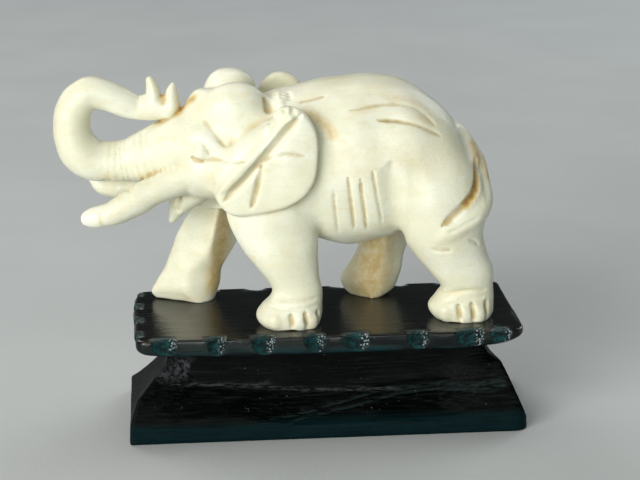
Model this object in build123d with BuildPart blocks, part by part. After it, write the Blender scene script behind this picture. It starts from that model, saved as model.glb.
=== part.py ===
"""Carved elephant with a raised trunk, pegged by its four feet to a black two-part wooden stand.

Millimetres, +Z up. The origin is the centre of the plinth's underside. The elephant faces -X. The side
its tail swings to is the -Y side, called near here; the other side is called far.
"""

import os

from build123d import *

# Stand: overall sizes, and the levels the two parts meet at
board_length = 80.0
board_width = 33.4
board_middle_y = -0.65  # it overhangs the near side
board_top = 22.8
board_edge = 3.9
board_corner = 2.4
joint_height = 16.6
plinth_length = 82.9
plinth_width = 32.2
band_height = 3.6
cove = ((0.0, 0.0), (3.6, 2.3), (7.2, 5.9), (8.4, 13.0))  # inset and height above the band

# Gouge nicks round the board's edge
nick_radius = 1.7
nick_bite = 0.75
side_nicks = (-33.5, -23.1, -13.6, -2.9, 6.0, 18.6, 29.1, 36.5)  # spaced by eye
end_nicks = (-12.5, -3.4, 5.4, 13.4)  # on the front end only

# Pegs and dowels, and the glue gap each hole leaves
peg_radius = 0.9
peg_length = 6.0
dowel_radius = 1.5
dowel_length = 8.0
dowel_spacing = 30.0
glue_gap = 0.05

# Elephant: plane of symmetry, and how far out the legs stand
mid_y = 1.0
leg_offsets = {"near_fore": -8.0, "far_fore": 10.8, "near_hind": -6.8, "far_hind": 10.3}
sole = board_top
ankle = 29.5

# Barrel of the body: x, centre height, half width, half height
barrel = (
    (-13.0, 56.5, 8.5, 11.0),
    (-5.0, 55.2, 11.5, 15.2),
    (3.0, 54.8, 13.0, 17.3),
    (11.0, 54.9, 13.4, 17.3),
    (19.0, 53.8, 13.0, 16.0),
    (27.0, 50.0, 11.4, 12.2),
    (33.0, 46.8, 6.4, 6.6),
)

# Rounded masses, each an x, y, z centre and a radius: chest, rump and cheeks
masses = (
    ((-12.5, mid_y, 53.5), 9.6),
    ((27.6, mid_y, 47.2), 8.0),
    ((-21.0, mid_y - 3.8, 56.3), 7.2),
    ((-21.0, mid_y + 3.8, 56.3), 7.2),
)

# Legs from inside the body to the ankle: x, z, half length, half width
legs = {
    "near_fore": (
        (-10.6, 58.1, 6.0, 1.2),
        (-11.4, 50.9, 8.4, 4.4),
        (-11.0, 43.8, 8.6, 5.2),
        (-8.6, 36.6, 6.8, 4.9),
        (-6.5, ankle, 5.1, 4.3),
    ),
    "far_fore": (
        (-9.0, 58.1, 5.0, 1.2),
        (-13.5, 50.9, 7.0, 4.2),
        (-19.2, 43.8, 7.2, 4.9),
        (-23.9, 36.6, 6.7, 4.7),
        (-27.0, ankle, 6.0, 4.3),
    ),
    "near_hind": (
        (21.4, 58.1, 6.0, 1.4),
        (22.8, 50.9, 9.2, 4.6),
        (23.5, 43.8, 9.4, 5.6),
        (26.0, 36.6, 7.8, 5.2),
        (29.1, ankle, 5.5, 4.4),
    ),
    "far_hind": (
        (21.0, 58.1, 5.0, 1.4),
        (20.4, 50.9, 7.6, 4.4),
        (18.2, 43.8, 7.2, 5.0),
        (15.1, 36.6, 6.1, 4.6),
        (12.1, ankle, 5.7, 4.2),
    ),
}

# Feet from the ankle to the sole: x, z, half length, half width
feet = {
    "near_fore": ((-6.5, ankle, 5.1, 4.3), (-7.7, 26.0, 6.5, 4.7), (-7.6, sole, 5.8, 4.2)),
    "far_fore": ((-27.0, ankle, 6.0, 4.3), (-28.5, 26.0, 7.0, 4.6), (-29.6, sole, 5.8, 4.2)),
    "near_hind": ((29.1, ankle, 5.5, 4.4), (28.0, 26.0, 6.8, 4.8), (28.2, sole, 5.6, 4.3)),
    "far_hind": ((12.1, ankle, 5.7, 4.2), (10.7, 26.0, 6.0, 4.4), (10.3, sole, 3.9, 3.8)),
}
peg_places = [(feet[name][-1][0], leg_offsets[name]) for name in feet]

# Tapering rods, each a list of centre line points with the radius there
trunk = (
    ((-14.0, mid_y, 59.0), 8.6),
    ((-21.0, mid_y, 59.6), 8.4),
    ((-28.0, mid_y, 58.2), 7.2),
    ((-35.5, mid_y, 56.4), 5.4),
    ((-43.0, mid_y, 56.2), 4.5),
    ((-49.2, mid_y, 59.3), 4.1),
    ((-51.3, mid_y, 64.6), 3.8),
    ((-48.2, mid_y, 69.3), 3.5),
    ((-42.6, mid_y, 68.7), 3.1),
    ((-38.0, mid_y, 67.1), 2.6),
    ((-32.2, mid_y, 66.6), 3.0),
)
near_tusk = (((-31.0, -3.6, 52.6), 3.4), ((-39.5, -5.2, 48.6), 3.0), ((-48.2, -6.4, 45.9), 1.6))
far_tusk = (((-33.0, 5.6, 51.2), 3.2), ((-41.5, 7.2, 48.6), 2.6), ((-46.6, 8.0, 50.2), 1.6))
near_brow = (((-15.6, -3.2, 65.0), 5.6), ((-20.6, -4.2, 65.4), 6.0), ((-27.6, -2.4, 60.8), 4.8))
far_brow = (((-15.6, 5.2, 65.6), 5.8), ((-20.6, 6.2, 66.4), 6.3), ((-27.6, 4.4, 60.8), 4.8))
lower_lip = (((-25.5, mid_y, 51.0), 3.8), ((-29.0, mid_y, 47.6), 2.6), ((-31.0, mid_y, 44.4), 1.2))
fingers = (
    (((-34.9, mid_y, 67.4), 1.9), ((-34.7, mid_y, 70.4), 1.5), ((-35.1, mid_y, 72.7), 0.8)),
    (((-31.2, mid_y, 66.8), 2.2), ((-30.9, mid_y, 69.6), 1.5), ((-30.7, mid_y, 71.5), 0.7)),
)
tail = (
    ((28.2, -0.6, 60.4), 1.8),
    ((32.2, -1.4, 54.4), 1.9),
    ((33.8, -3.6, 47.6), 2.1),
    ((31.2, -8.8, 42.8), 2.2),
    ((25.2, -12.2, 38.6), 1.2),
)
tip_swell = 0.12  # how much bigger an end ball's radius is than its rod's

# Ears: outline from the root at the top round to the root again, in X and Z, and how they flare
ear_outline = (
    (-12.4, 66.8),
    (-8.2, 69.2),
    (-3.6, 66.6),
    (-2.0, 60.3),
    (-4.0, 52.6),
    (-10.0, 48.5),
    (-18.5, 46.8),
    (-23.6, 50.2),
    (-20.0, 58.0),
)
ear_thickness = 2.4
ear_root = (-22.0, 10.6)  # x, and distance from the plane of symmetry
ear_flare = 8.0  # degrees

# Cuts: ribs in the flanks, and the gaps between the near toes
rib_places = ((1.3, 47.4), (4.4, 49.0), (6.8, 49.4), (9.6, 50.2))  # x, z of the middle
rib_length = 10.0
rib_radius = 0.7
rib_offset = 12.5
rib_lean = 16.0
toe_places = ((-8.6, -12.6), (-4.8, -12.2), (27.0, -11.5), (31.0, -11.0))
toe_gap_radius = 0.6
toe_gap_height = 3.2

# Plinth: an upright band, a cove cut in flats, and a neck up to the waist
with BuildPart() as stand_plinth:
    with BuildSketch():
        RectangleRounded(plinth_length, plinth_width, 0.9)
    extrude(amount=band_height)
    for low, high in zip(cove, cove[1:]):
        for inset, rise in (low, high):
            with BuildSketch(Plane.XY.offset(band_height + rise)):
                RectangleRounded(plinth_length - 2 * inset, plinth_width - 2 * inset, 0.9)
        loft(ruled=True)
    with BuildSketch(Plane.XY.offset(joint_height)):
        with GridLocations(dowel_spacing, 0, 2, 1):
            Circle(dowel_radius + glue_gap)
    extrude(amount=-dowel_length / 2, mode=Mode.SUBTRACT)

# Board: a slab with a rounded top edge and gouge nicks, over an undercut that runs in to the waist
board_underside = board_top - board_edge
waist_inset = cove[-1][0]
nick_x = board_length / 2 + nick_radius - nick_bite
nick_y = board_width / 2 + nick_radius - nick_bite
board_middle = (0, board_middle_y)
with BuildPart() as stand_board:
    with BuildSketch(Plane.XY.offset(joint_height)):
        RectangleRounded(plinth_length - 2 * waist_inset, plinth_width - 2 * waist_inset, 0.9)
    with BuildSketch(Plane.XY.offset(board_underside)):
        with Locations(board_middle):
            RectangleRounded(board_length - 2.0, board_width - 2.0, board_corner - 1.0)
    loft(ruled=True)
    with BuildSketch(Plane.XY.offset(board_underside)):
        with Locations(board_middle):
            RectangleRounded(board_length, board_width, board_corner)
    extrude(amount=board_edge)
    top_face = stand_board.faces().sort_by(Axis.Z)[-1]
    fillet(top_face.outer_wire().edges(), 1.1)
    with BuildSketch(Plane.XY.offset(board_underside)):
        for side in (-1, 1):
            with Locations(*[(x, board_middle_y + side * nick_y) for x in side_nicks]):
                Circle(nick_radius)
        with Locations(*[(-nick_x, y) for y in end_nicks]):
            Circle(nick_radius)
    extrude(amount=board_edge, mode=Mode.SUBTRACT)
    with BuildSketch(Plane.XY.offset(board_top)):
        with Locations(*peg_places):
            Circle(peg_radius + glue_gap)
    extrude(amount=-peg_length / 2, mode=Mode.SUBTRACT)
    with BuildSketch(Plane.XY.offset(joint_height)):
        with GridLocations(dowel_spacing, 0, 2, 1):
            Circle(dowel_radius + glue_gap)
    extrude(amount=dowel_length / 2, mode=Mode.SUBTRACT)

# Elephant, carved in one piece
with BuildPart() as elephant:
    # Barrel
    for x, z, half_width, half_height in barrel:
        with BuildSketch(Plane.YZ.offset(x)):
            with Locations((mid_y, z)):
                Ellipse(half_width, half_height)
    loft()
    # Legs and feet
    for name, y in leg_offsets.items():
        for stations in (legs[name], feet[name]):
            for x, z, half_length, half_width in stations:
                with BuildSketch(Plane.XY.offset(z)):
                    with Locations((x, y)):
                        Ellipse(half_length, half_width)
            loft()
    # Trunk, brows, tusks, lip, fingers and tail, each with a ball at either end
    for stations in (trunk, near_brow, far_brow, near_tusk, far_tusk, lower_lip, *fingers, tail):
        with BuildLine():
            curve = Spline(*[point for point, _ in stations])
        for point, radius in stations:
            place = curve.param_at_point(Vector(*point))
            with BuildSketch(Plane(origin=curve @ place, z_dir=curve % place)):
                Circle(radius)
        sweep(multisection=True)
        for point, radius in (stations[0], stations[-1]):
            with Locations(point):
                Sphere(radius + tip_swell)
    # Chest, rump and cheeks
    for centre, radius in masses:
        with Locations(centre):
            Sphere(radius)
    # Ears, mirrored about the plane of symmetry
    for side in (-1, 1):
        ear_origin = (ear_root[0], mid_y + side * ear_root[1], 0)
        back_along_ear = Vector(1, 0, 0).rotate(Axis.Z, side * ear_flare)
        outward = Vector(0, -1, 0).rotate(Axis.Z, side * ear_flare)
        with BuildSketch(Plane(origin=ear_origin, x_dir=back_along_ear, z_dir=outward)):
            with BuildLine():
                Spline(*[(x - ear_root[0], z) for x, z in ear_outline], periodic=True)
            make_face()
        extrude(amount=ear_thickness / 2, both=True)
    # Ribs
    for side in (-1, 1):
        for x, z in rib_places:
            with Locations(Location((x, mid_y + side * rib_offset, z), (-side * rib_lean, 0, 0))):
                Cylinder(rib_radius, rib_length, mode=Mode.SUBTRACT)
    # Toe gaps and peg holes
    with BuildSketch(Plane.XY.offset(sole)):
        with Locations(*toe_places):
            Circle(toe_gap_radius)
    extrude(amount=toe_gap_height, mode=Mode.SUBTRACT)
    with BuildSketch(Plane.XY.offset(sole)):
        with Locations(*peg_places):
            Circle(peg_radius + glue_gap)
    extrude(amount=peg_length / 2, mode=Mode.SUBTRACT)

# Pegs that hold the feet to the board
pegs = {}
for name, place in zip(legs, peg_places):
    with BuildPart() as peg:
        with BuildSketch(Plane.XY.offset(sole - peg_length / 2)):
            with Locations(place):
                Circle(peg_radius)
        extrude(amount=peg_length)
    pegs[name + "_peg"] = peg.part

# Dowels that hold the board to the plinth
dowels = {}
for name, x in (("front_dowel", -dowel_spacing / 2), ("rear_dowel", dowel_spacing / 2)):
    with BuildPart() as dowel:
        with BuildSketch(Plane.XY.offset(joint_height - dowel_length / 2)):
            with Locations((x, 0)):
                Circle(dowel_radius)
        extrude(amount=dowel_length)
    dowels[name] = dowel.part

os.makedirs("parts", exist_ok=True)
nodes = {
    "stand_plinth": stand_plinth.part,
    "stand_board": stand_board.part,
    "elephant": elephant.part,
    **pegs,
    **dowels,
}
for name, node in nodes.items():
    node.label = name
    export_step(node, f"parts/{name}.step")
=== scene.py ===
from math import radians

import bpy
import numpy as np
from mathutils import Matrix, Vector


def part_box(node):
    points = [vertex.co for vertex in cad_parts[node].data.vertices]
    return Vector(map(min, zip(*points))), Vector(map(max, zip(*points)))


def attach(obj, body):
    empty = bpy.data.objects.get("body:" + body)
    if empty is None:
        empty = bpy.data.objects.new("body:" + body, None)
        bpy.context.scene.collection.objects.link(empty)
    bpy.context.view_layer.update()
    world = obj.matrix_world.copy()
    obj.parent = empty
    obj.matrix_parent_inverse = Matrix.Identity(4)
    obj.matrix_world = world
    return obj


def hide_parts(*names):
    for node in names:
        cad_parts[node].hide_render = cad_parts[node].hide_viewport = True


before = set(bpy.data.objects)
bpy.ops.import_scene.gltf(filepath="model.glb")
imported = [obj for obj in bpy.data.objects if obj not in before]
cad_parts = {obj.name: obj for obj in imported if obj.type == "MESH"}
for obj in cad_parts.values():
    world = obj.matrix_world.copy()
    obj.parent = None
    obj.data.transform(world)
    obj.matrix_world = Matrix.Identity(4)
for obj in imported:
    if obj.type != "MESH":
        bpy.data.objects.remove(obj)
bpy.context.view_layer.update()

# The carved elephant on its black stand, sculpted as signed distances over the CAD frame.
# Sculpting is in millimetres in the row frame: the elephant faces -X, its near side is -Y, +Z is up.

import openvdb
from mathutils import Euler, Matrix, Vector

MM = 0.001
NEAR = -1
FAR = 1
LINE_SPACING = 0.3


def corners(node):
    """Lowest and highest corner of a CAD node in millimetres."""
    low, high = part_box(node)
    return np.array(low) / MM, np.array(high) / MM


# ---------------------------------------------------------------- sculpting kit


def dense(points, per_span=8):
    """A smooth curve through the points, as a denser list of points."""
    p = np.array(points, float)
    padded = np.vstack([2 * p[0] - p[1], p, 2 * p[-1] - p[-2]])
    t = np.linspace(0, 1, per_span, endpoint=False)[:, None]
    spans = []
    for a, b, c, d in zip(padded, padded[1:], padded[2:], padded[3:]):
        bend = 2 * a - 5 * b + 4 * c - d
        swing = 3 * b - a - 3 * c + d
        spans.append(0.5 * (2 * b + (c - a) * t + bend * t**2 + swing * t**3))
    return np.vstack([*spans, p[-1:]])


def closed(points, per_span=6):
    """A smooth closed outline through the points."""
    p = [tuple(q) for q in points]
    curve = dense([p[-1], *p, p[0], p[1]], per_span)
    return curve[per_span:-per_span - 1]


def smooth_min(a, b, blend):
    if blend <= 0:
        return np.minimum(a, b)
    overlap = np.maximum(blend - np.abs(a - b), 0)
    return np.minimum(a, b) - overlap**2 / (4 * blend)


def smooth_max(a, b, blend):
    return -smooth_min(-a, -b, blend)


def egg(centre, radii, turn=(0, 0, 0)):
    """An ellipsoid, turned by degrees about X, Y and Z."""
    c = np.array(centre, float)
    r = np.array(radii, float)
    spin = np.array(Euler([radians(t) for t in turn]).to_matrix()).T

    def distance(x, y, z):
        rel = (x - c[0], y - c[1], z - c[2])
        local = rel
        if any(turn):
            local = [row[0] * rel[0] + row[1] * rel[1] + row[2] * rel[2] for row in spin]
        near = np.sqrt(sum((u / s) ** 2 for u, s in zip(local, r)))
        steep = np.sqrt(sum((u / s**2) ** 2 for u, s in zip(local, r)))
        return near * (near - 1) / np.maximum(steep, 1e-4)

    return c - r.max(), c + r.max(), distance


def cord(knots, squeeze=1.0):
    """A round rod through knots of (x, y, z, radius), its width across Y multiplied by squeeze."""
    path = dense(knots, 6)

    def distance(x, y, z):
        found = None
        for a, b in zip(path, path[1:]):
            run = b[:3] - a[:3]
            length = max(float(run @ run), 1e-6)
            rel = (x - a[0], y - a[1], z - a[2])
            t = np.clip((rel[0] * run[0] + rel[1] * run[1] + rel[2] * run[2]) / length, 0, 1)
            gap = (rel[0] - t * run[0], (rel[1] - t * run[1]) / squeeze, rel[2] - t * run[2])
            d = np.sqrt(gap[0] ** 2 + gap[1] ** 2 + gap[2] ** 2) - (a[3] + t * (b[3] - a[3]))
            found = d if found is None else np.minimum(found, d)
        return found

    reach = path[:, 3:4] * max(1, squeeze)
    return (path[:, :3] - reach).min(0), (path[:, :3] + reach).max(0), distance


def loft(axis, stations, power=2.0):
    """A solid along X (axis 0) or Z (axis 2), from stations of (place, low, high, middle Y, half width)."""
    path = dense(stations, 8)
    path = path[np.argsort(path[:, 0])]
    other = 2 - axis

    def distance(*xyz):
        place = xyz[axis]
        low, high, middle, half = (np.interp(place, path[:, 0], path[:, k]) for k in (1, 2, 3, 4))
        reach = (high - low) / 2
        u = np.abs(xyz[other] - (high + low) / 2) / reach
        v = np.abs(xyz[1] - middle) / half
        near = (u**power + v**power) ** (1 / power)
        steep = np.sqrt((u / reach) ** 2 + (v / half) ** 2)
        side = near * (near - 1) / np.maximum(steep, 1e-4)
        return np.maximum(side, np.maximum(path[0, 0] - place, place - path[-1, 0]))

    low = [0, (path[:, 3] - path[:, 4]).min(), 0]
    high = [0, (path[:, 3] + path[:, 4]).max(), 0]
    low[axis], high[axis] = path[0, 0], path[-1, 0]
    low[other], high[other] = path[:, 1].min(), path[:, 2].max()
    return np.array(low), np.array(high), distance


def outline_distance(x, z, outline):
    """Signed distance in the XZ plane to a closed outline, negative inside."""
    best = None
    inside = np.zeros(np.broadcast_shapes(x.shape, z.shape), bool)
    for a, b in zip(outline, np.roll(outline, -1, 0)):
        run = b - a
        t = np.clip(((x - a[0]) * run[0] + (z - a[1]) * run[1]) / max(run @ run, 1e-9), 0, 1)
        d = (x - a[0] - t * run[0]) ** 2 + (z - a[1] - t * run[1]) ** 2
        best = d if best is None else np.minimum(best, d)
        if a[1] != b[1]:
            crosses = (a[1] > z) != (b[1] > z)
            inside ^= crosses & (x < a[0] + (z - a[1]) / (b[1] - a[1]) * run[0])
    return np.where(inside, -1, 1) * np.sqrt(best)


def plate(outline, face, thick, edge):
    """A leaf of material whose middle surface is y = face(x, z), with an edge rounded by a radius."""

    def distance(x, y, z):
        across = outline_distance(x, z, outline) + edge
        deep = np.abs(y - face(x, z)) - thick / 2 + edge
        outer = np.sqrt(np.maximum(across, 0) ** 2 + np.maximum(deep, 0) ** 2)
        return outer + np.minimum(np.maximum(across, deep), 0) - edge

    xs = outline[:, 0][:, None]
    zs = outline[:, 1][:, None]
    ys = face(xs, zs)
    low = np.array((xs.min(), ys.min() - thick, zs.min()))
    return low, np.array((xs.max(), ys.max() + thick, zs.max())), distance


class Carving:
    """A solid held as signed distances on a grid, negative inside."""

    def __init__(self, low, high, step):
        self.low = np.array(low, float)
        self.step = step
        self.ticks = [np.arange(a, b + step, step) for a, b in zip(low, high)]
        self.field = np.full([len(t) for t in self.ticks], 9.0, np.float32)

    def axes(self):
        """The grid's X, Y and Z values, shaped to combine into the whole grid."""
        return self.window(self.low, self.low + self.step * np.array(self.field.shape), 1)[1]

    def window(self, low, high, grow=2.0):
        cut = []
        xyz = []
        for k in range(3):
            first, last = np.searchsorted(self.ticks[k], (low[k] - grow, high[k] + grow))
            cut.append(slice(first, last))
            shape = [1, 1, 1]
            shape[k] = -1
            xyz.append(self.ticks[k][first:last].reshape(shape))
        return tuple(cut), xyz

    def join(self, shape, blend=0.0):
        cut, xyz = self.window(shape[0], shape[1], 2 + blend)
        self.field[cut] = smooth_min(self.field[cut], shape[2](*xyz), blend)

    def carve(self, shape):
        cut, xyz = self.window(shape[0], shape[1], 1)
        self.field[cut] = np.maximum(self.field[cut], -shape[2](*xyz))

    def slice(self, point, normal, low, high, blend=0.3):
        """Cuts off what lies past a plane, within a box."""
        n = np.array(normal, float)
        n /= np.linalg.norm(n)
        cut, xyz = self.window(low, high, 0)
        past = sum((c - p) * k for c, p, k in zip(xyz, point, n))
        self.field[cut] = smooth_max(self.field[cut], past, blend)

    def land(self, path, side):
        """Drops a smooth path through (x, z) points along Y on to the surface of one side."""
        line = dense(path, 12)
        gone = np.concatenate([[0], np.cumsum(np.linalg.norm(np.diff(line, axis=0), axis=1))])
        even = np.linspace(0, gone[-1], int(gone[-1] / LINE_SPACING) + 2)
        line = np.stack([np.interp(even, gone, line[:, k]) for k in (0, 1)], 1)
        landed = []
        for x, z in line:
            across, up = (x - self.low[0]) / self.step, (z - self.low[2]) / self.step
            i, k = int(across), int(up)
            share_i, share_k = across - i, up - k
            total = 0
            for di, dk in ((0, 0), (1, 0), (0, 1), (1, 1)):
                column = self.field[i + di, :, k + dk]
                inside = np.flatnonzero(column < 0)
                if not len(inside):
                    break
                j = inside[0] if side == NEAR else inside[-1]
                step_out = side * column[j] / (column[j] - column[j + side])
                weight = (share_i if di else 1 - share_i) * (share_k if dk else 1 - share_k)
                total += weight * (self.ticks[1][j] + step_out * self.step)
            else:
                landed.append((x, total, z))
        return np.array(landed)

    def press(self, points, width, depth, bulge=False):
        """Presses a V groove, tapering at its ends, along points on the surface; a bulge raises a ridge."""
        cut, xyz = self.window(points.min(0), points.max(0), width + 0.5)
        best = None
        taper = np.minimum(1, 0.25 + 5 * np.minimum(*np.linspace((0, 1), (1, 0), len(points)).T))
        for p, share in zip(points, taper):
            reach = (width * share) ** 2
            d = ((xyz[0] - p[0]) ** 2 + (xyz[1] - p[1]) ** 2 + (xyz[2] - p[2]) ** 2) / reach
            best = d if best is None else np.minimum(best, d)
        fall = np.clip(1 - np.sqrt(best), 0, 1)
        if bulge:
            self.field[cut] -= depth * fall * fall * (3 - 2 * fall)
        else:
            self.field[cut] += depth * fall

    def raise_along(self, path, side, width, height):
        """Raises a soft ridge along a path of (x, z) points on one side."""
        self.press(self.land(path, side), width, height, bulge=True)

    def ripple(self, length, height, seed):
        """Uneven hand work: soft waves of about that length all over the surface."""
        rng = np.random.default_rng(seed)
        x, y, z = self.axes()
        for _ in range(5):
            way = rng.normal(size=3)
            way *= 2 * np.pi / length / np.linalg.norm(way)
            turn = rng.uniform(0, 6.28)
            self.field += (height / 2.2) * np.sin(way[0] * x + way[1] * y + way[2] * z + turn)

    def sample(self, grid, points):
        """Reads a grid at points given in millimetres."""
        place = (points - self.low) / self.step
        base = np.clip(place.astype(int), 0, np.array(grid.shape) - 2)
        part = np.clip(place - base, 0, 1)
        total = np.zeros(len(points))
        for corner in range(8):
            bits = np.array([(corner >> k) & 1 for k in range(3)])
            weight = np.prod(np.where(bits, part, 1 - part), axis=1)
            total += weight * grid[tuple((base + bits).T)]
        return total

    def hollows(self, points, reach):
        """How far the surface is closed in around each point: 0 flat, above 0 in a crevice."""
        fill = np.clip(0.5 - self.field / self.step, 0, 1)
        size = max(1, int(round(reach / self.step)))
        for _ in range(2):
            for k in range(3):
                wide = np.pad(fill, [(size + 1, size) if i == k else (0, 0) for i in range(3)], "edge")
                total = np.cumsum(wide, axis=k, dtype=np.float64)
                top = np.take(total, range(2 * size + 1, total.shape[k]), axis=k)
                bottom = np.take(total, range(0, total.shape[k] - 2 * size - 1), axis=k)
                fill = ((top - bottom) / (2 * size + 1)).astype(np.float32)
        return self.sample(fill, points) - 0.5

    def mesh(self, name, adaptivity=0.0, keep=1.0):
        """Turns the zero surface into a mesh object placed in metres, keeping that share of its faces."""
        grid = openvdb.FloatGrid(9.0)
        grid.copyFromArray(self.field)
        points, triangles, quads = grid.convertToPolygons(0.0, adaptivity)
        points = points * self.step + self.low
        faces = [*map(tuple, triangles[:, ::-1].tolist()), *map(tuple, quads[:, ::-1].tolist())]
        data = bpy.data.meshes.new(name)
        data.from_pydata((points * MM).tolist(), [], faces)
        data.polygons.foreach_set("use_smooth", [True] * len(data.polygons))
        piece = bpy.data.objects.new(name, data)
        bpy.context.scene.collection.objects.link(piece)
        if keep < 1:
            piece.modifiers.new("thin", "DECIMATE").ratio = keep
            thinned = piece.evaluated_get(bpy.context.evaluated_depsgraph_get())
            piece.data = bpy.data.meshes.new_from_object(thinned)
            piece.modifiers.clear()
            points = np.empty((len(piece.data.vertices), 3), np.float32)
            piece.data.vertices.foreach_get("co", points.ravel())
            points = points / MM
        return piece, points


def paint(piece, name, values):
    """Stores a value at every vertex for the material to read."""
    layer = piece.data.attributes.new(name, "FLOAT", "POINT")
    layer.data.foreach_set("value", np.asarray(values, np.float32))


def near_line(points, line, radius):
    """1 on a line, falling smoothly to 0 at a radius from it."""
    best = np.full(len(points), 1e9)
    for p in line:
        best = np.minimum(best, ((points - p) ** 2).sum(1))
    fall = np.clip(1 - np.sqrt(best) / radius, 0, 1)
    return fall * fall * (3 - 2 * fall)


# ---------------------------------------------------------------- elephant

MID = 1.0
elephant_low, elephant_high = corners("elephant")
SOLE = elephant_low[2]
step = 0.31
carving = Carving(elephant_low - (4, 4, 1.5), elephant_high + (3, 4, 4), step)

# Barrel: x, underside, back, middle, half width
barrel = (
    (-17, 47.5, 66.5, MID, 8),
    (-11, 43.5, 69.5, MID, 10.2),
    (-5.6, 40.3, 70.9, MID, 11.8),
    (-0.6, 38.6, 71.9, MID, 12.7),
    (4, 37.4, 72.5, MID, 13.1),
    (7.6, 37.2, 72.7, MID, 13.3),
    (11.6, 38.4, 72.4, MID, 13.4),
    (15.8, 39.8, 71.6, MID, 13.3),
    (20, 40.6, 69.6, MID, 12.9),
    (24.2, 40.6, 66.2, MID, 12.2),
    (27.4, 40.4, 62.2, MID, 11),
    (30.2, 40.2, 57, MID, 9.4),
)
carving.join(loft(0, barrel, 2.15))
carving.join(egg((24.8, MID, 47.8), (10.0, 11.4, 10.6)), 3.0)
carving.join(egg((-12.5, MID, 53.2), (10.0, 9.4, 10.0)), 3.0)

# Legs: height, front, back, middle, half width
near_fore = (
    (SOLE, -13.3, -1.8, -8.5, 4.9),
    (24, -14.3, -1.4, -8.5, 5.1),
    (25.4, -14.5, -1.2, -8.4, 5.1),
    (27, -13.4, -1.2, -8.3, 4.8),
    (28.7, -11.8, -1.2, -8.2, 4.5),
    (30.5, -11.5, -1.3, -8.2, 4.4),
    (33, -13, -1.6, -8.1, 4.6),
    (35.7, -15, -1.8, -8, 4.9),
    (38.8, -17.3, -2, -7.8, 5.1),
    (42, -19.2, -2.2, -7.5, 5.3),
    (47, -20.4, -2.3, -7, 5.3),
    (52, -18.8, -2.6, -6, 5.2),
    (57, -16, -4, -5, 4.4),
)
far_fore = (
    (SOLE, -35.2, -22.6, 10.7, 4.6),
    (24.4, -36.2, -22, 10.8, 4.6),
    (26.7, -35.2, -21.4, 10.8, 4.5),
    (29.3, -33.4, -21, 10.7, 4.2),
    (31.5, -32.5, -20, 10.4, 4.3),
    (34.7, -31.3, -17.3, 10, 4.5),
    (38.6, -29.7, -14.6, 9.4, 4.7),
    (42.7, -27.1, -11.5, 8.8, 4.9),
    (47, -22.5, -8, 8.2, 4.9),
    (52, -17.5, -5, 7.2, 4.8),
    (57, -14, -4, 6, 4.2),
)
near_hind = (
    (SOLE, 22.6, 34.0, -7.1, 4.9),
    (24.2, 21.5, 34.7, -7.1, 5.1),
    (25.8, 21.2, 34.9, -7, 5),
    (27.6, 22.6, 34.9, -6.9, 4.7),
    (29.6, 23.6, 34.8, -6.8, 4.4),
    (33, 20.8, 34.5, -7, 4.8),
    (37.5, 17.4, 33, -7.2, 5.4),
    (41, 15.2, 32.4, -7.3, 5.9),
    (45, 13.6, 32.6, -7.2, 6.3),
    (50, 12.8, 32, -6.7, 6.8),
    (55, 14, 29.4, -5.2, 6.4),
    (60, 17, 25.6, -2.6, 4.6),
)
far_hind = (
    (SOLE, 6.6, 14.0, 10.3, 4.2),
    (24.2, 5.3, 16.2, 10.4, 4.3),
    (26.7, 4.7, 17.2, 10.4, 4.2),
    (29.5, 6.3, 17.9, 10.3, 4.3),
    (33, 8.1, 19, 10.1, 4.5),
    (38, 9.8, 22.5, 9.6, 4.8),
    (44, 11.5, 27, 8.9, 5.2),
    (50, 13, 29, 8, 5.4),
    (57, 16, 28, 6.4, 5),
)
for leg in (near_fore, far_fore, near_hind, far_hind):
    carving.join(loft(2, leg, 2.2), 2.2)

# The far legs are left in flat knife cuts: a point on each cut and the way it faces
far_leg_cuts = (
    ((-27, 6.7, 33), (-0.45, -0.87, 0.2), (-40, 0, 22), (-12, 16, 44)),
    ((-22.4, 7, 33), (0.72, -0.68, -0.1), (-40, 0, 22), (-8, 16, 44)),
    ((-29.5, 6.9, 24.7), (-0.35, -0.8, -0.4), (-40, 0, 22), (-25, 16, 26.5)),
    ((8.6, 6.5, 31), (-0.55, -0.83, 0.1), (0, 0, 22), (20, 16, 42)),
    ((14.4, 6.4, 31), (0.62, -0.78, -0.1), (0, 0, 22), (24, 16, 42)),
    ((8.6, 7, 24.2), (-0.45, -0.75, -0.4), (0, 0, 22), (10.5, 16, 26.5)),
)
for point, normal, low, high in far_leg_cuts:
    carving.slice(point, normal, low, high, 0.6)

# Head: skull, forehead, domes, brows, cheeks and jaw
carving.join(egg((-19.0, MID, 61.0), (10.0, 8.4, 9.0)), 2.5)
carving.join(egg((-23.6, MID, 63.4), (6.0, 6.0, 6.0)), 1.5)
carving.join(egg((-24.3, MID, 66.5), (3.5, 4.0, 4.0)), 0.9)
carving.join(egg((-17.9, MID - 4.2, 66.5), (6.9, 5.0, 6.0), (0, 8, 0)), 2.6)
carving.join(egg((-19.4, MID + 4.8, 62.4), (6.4, 4.8, 6.0)), 2.0)
carving.join(egg((-18.7, MID + 4.8, 67.8), (5.7, 4.6, 6.1)), 0.9)
for side in (NEAR, FAR):
    carving.join(egg((-24.0, MID + side * 4.8, 60.6), (5.2, 4.6, 4.6)), 1.5)
    carving.join(egg((-21.2, MID + side * 4.6, 55.2), (8.4, 6.0, 6.4)), 2.0)
carving.join(egg((-26.5, MID, 52.6), (7.0, 6.6, 4.6)), 2.0)

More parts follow.
